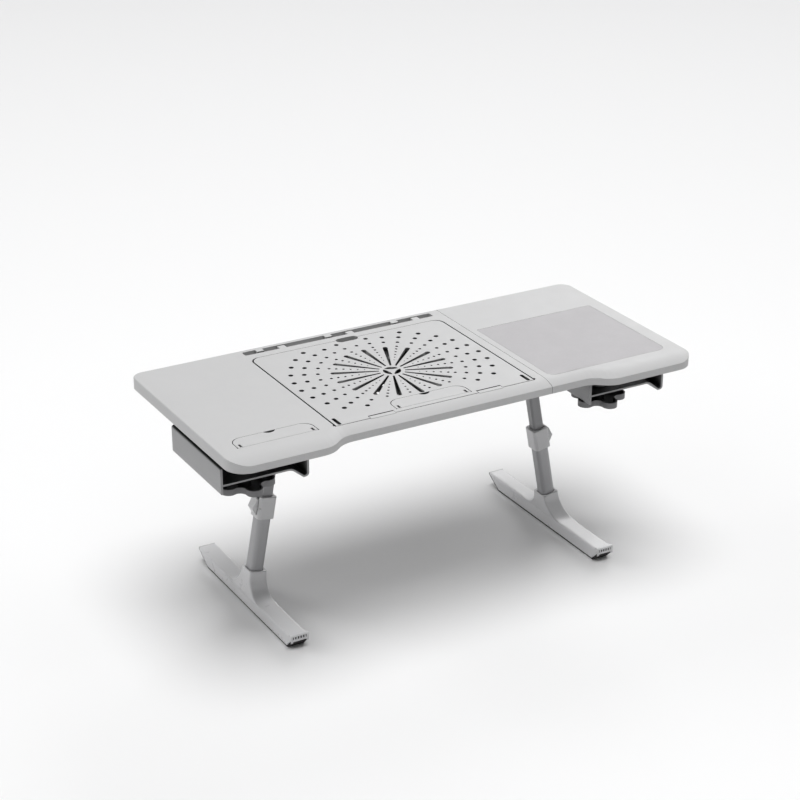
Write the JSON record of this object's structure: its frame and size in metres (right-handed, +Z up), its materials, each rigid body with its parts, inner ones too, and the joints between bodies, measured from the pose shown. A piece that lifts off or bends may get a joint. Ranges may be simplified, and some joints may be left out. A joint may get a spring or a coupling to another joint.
{
  "type": "laptop table",
  "caption": "Low folding laptop table with a vented tilting panel and fan, flip-up stops, tablet slot, mouse pad, swing-out trays and telescopic legs on long feet.",
  "frame": {"origin": "middle of the table's footprint, on the surface that its feet stand on", "axes": "+X along the long side to the right, -Y towards the user, +Z up"},
  "size_m": [0.7, 0.336, 0.312],
  "materials": {
    "board": "fine matt",
    "pad": "fine grain",
    "cover": "matt",
    "foot": "matt",
    "fitting": "matt",
    "tray": "matt",
    "tube": "satin",
    "bracket": "satin",
    "steel": "satin",
    "rubber": "matt",
    "fan": "matt"
  },
  "bodies": {
    "board": {"top_board": "board", "wing_board": "board", "main_base": "cover", "wing_base": "cover", "mouse_pad": "pad", "joining_bars": "steel", "base_screws": "steel", "bracket_screws": "steel", "tray_post_screws": "steel", "panel_hinge_pins": "steel", "wing_stop_pins": "steel", "leg_bracket_left": "bracket", "leg_bracket_right": "bracket", "leg_pin_left": "steel", "leg_pin_right": "steel", "tray_post_left": "fitting", "tray_post_right": "fitting", "tray_bolt_left": "steel", "tray_bolt_right": "steel"},
    "panel": {"vent_panel": "board", "fan_frame": "fan", "fan_motor": "fan", "fan_screws": "steel", "fan_power_socket": "fan", "panel_stop_pins": "steel"},
    "panel_stop": {"panel_stop": "board"},
    "wing_stop": {"wing_stop": "board"},
    "fan": {"fan_rotor": "fan"},
    "leg_left": {"upper_tube_left": "tube"},
    "foot_left": {"collar_left": "fitting", "lower_tube_left": "tube", "lever_pin_left": "steel", "foot_left": "foot", "foot_sole_left": "rubber", "toe_cap_left": "foot", "tube_plug_left": "fitting", "foot_bolt_left": "steel"},
    "lever_left": {"lever_left": "fitting"},
    "tray_left": {"tray_left": "tray", "tray_washer_left": "steel"},
    "knob_left": {"knob_left": "fitting"},
    "leg_right": {"upper_tube_right": "tube"},
    "foot_right": {"collar_right": "fitting", "lower_tube_right": "tube", "lever_pin_right": "steel", "foot_right": "foot", "foot_sole_right": "rubber", "toe_cap_right": "foot", "tube_plug_right": "fitting", "foot_bolt_right": "steel"},
    "lever_right": {"lever_right": "fitting"},
    "tray_right": {"tray_right": "tray", "tray_washer_right": "steel"},
    "knob_right": {"knob_right": "fitting"}
  },
  "joints": [
    {"name": "panel_tilt", "type": "hinge", "parent": "board", "child": "panel", "pos_m": [-0.0385, -0.1245, 0.3094], "axis": [1, 0, 0], "range_deg": [0, 40]},
    {"name": "panel_stop_flip", "type": "hinge", "parent": "panel", "child": "panel_stop", "pos_m": [-0.0385, -0.118, 0.3103], "axis": [1, 0, 0], "range_deg": [0, 90]},
    {"name": "wing_stop_flip", "type": "hinge", "parent": "board", "child": "wing_stop", "pos_m": [-0.2675, -0.124, 0.3103], "axis": [1, 0, 0], "range_deg": [0, 90]},
    {"name": "fan_spin", "type": "hinge", "parent": "panel", "child": "fan", "pos_m": [-0.0385, -0.0077, 0.304], "axis": [0, 0, 1], "continuous": true},
    {"name": "leg_fold_left", "type": "hinge", "parent": "board", "child": "leg_left", "pos_m": [-0.1955, 0.0225, 0.279], "axis": [0, -1, 0], "range_deg": [0, 100]},
    {"name": "leg_slide_left", "type": "slide", "parent": "leg_left", "child": "foot_left", "axis": [0.1805, 0, 0.9836], "range_m": [0, 0.08]},
    {"name": "lever_flip_left", "type": "hinge", "parent": "foot_left", "child": "lever_left", "pos_m": [-0.23143, 0.0225, 0.14417], "axis": [0, 1, 0], "range_deg": [0, 20]},
    {"name": "tray_swing_left", "type": "hinge", "parent": "board", "child": "tray_left", "pos_m": [-0.294, -0.0785, 0.256], "axis": [0, 0, 1], "range_deg": [0, 90]},
    {"name": "knob_turn_left", "type": "hinge", "parent": "board", "child": "knob_left", "pos_m": [-0.294, -0.0785, 0.238], "axis": [0, 0, 1], "continuous": true},
    {"name": "leg_fold_right", "type": "hinge", "parent": "board", "child": "leg_right", "pos_m": [0.1955, 0.0225, 0.279], "axis": [0, 1, 0], "range_deg": [0, 88]},
    {"name": "leg_slide_right", "type": "slide", "parent": "leg_right", "child": "foot_right", "axis": [-0.1805, 0, 0.9836], "range_m": [0, 0.08]},
    {"name": "lever_flip_right", "type": "hinge", "parent": "foot_right", "child": "lever_right", "pos_m": [0.23143, 0.0225, 0.14417], "axis": [0, -1, 0], "range_deg": [0, 20]},
    {"name": "tray_swing_right", "type": "hinge", "parent": "board", "child": "tray_right", "pos_m": [0.251, -0.0785, 0.256], "axis": [0, 0, -1], "range_deg": [0, 90]},
    {"name": "knob_turn_right", "type": "hinge", "parent": "board", "child": "knob_right", "pos_m": [0.251, -0.0785, 0.238], "axis": [0, 0, 1], "continuous": true}
  ]
}
